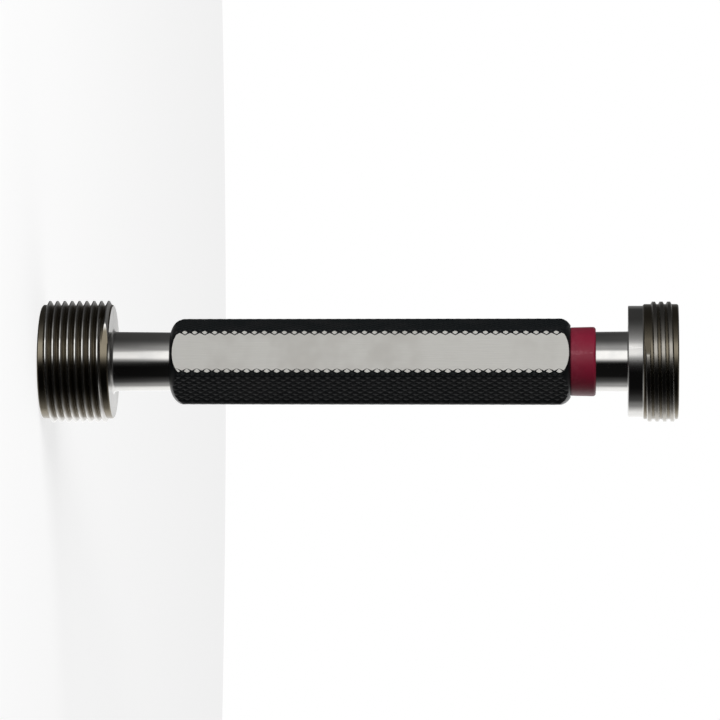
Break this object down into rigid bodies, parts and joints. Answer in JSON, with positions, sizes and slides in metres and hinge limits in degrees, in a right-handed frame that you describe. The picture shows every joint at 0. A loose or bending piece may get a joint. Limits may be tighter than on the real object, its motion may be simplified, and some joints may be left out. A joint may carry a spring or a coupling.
{
  "type": "thread plug gauge",
  "caption": "Double-ended go / not-go thread plug gauge: long full thread, hexagonal knurled handle, red ring, and short truncated thread behind a plain collar.",
  "frame": {"origin": "centre of the GO member's end face, on which the gauge stands", "axes": "+Z along the gauge's axis from the GO end to the NOT GO end; the handle's two ground marking faces look along -Y and +Y"},
  "size_m": [0.033, 0.033, 0.1705],
  "materials": {
    "gauge_steel": "hardened and ground tool steel, bright",
    "black_handle": "black anodised, diamond knurled, with ground bright marking faces",
    "red_ring": "satin crimson plastic"
  },
  "bodies": {
    "root": {"handle": "black_handle", "go_member": "gauge_steel", "no_go_member": "gauge_steel", "red_ring": "red_ring"}
  },
  "joints": []
}
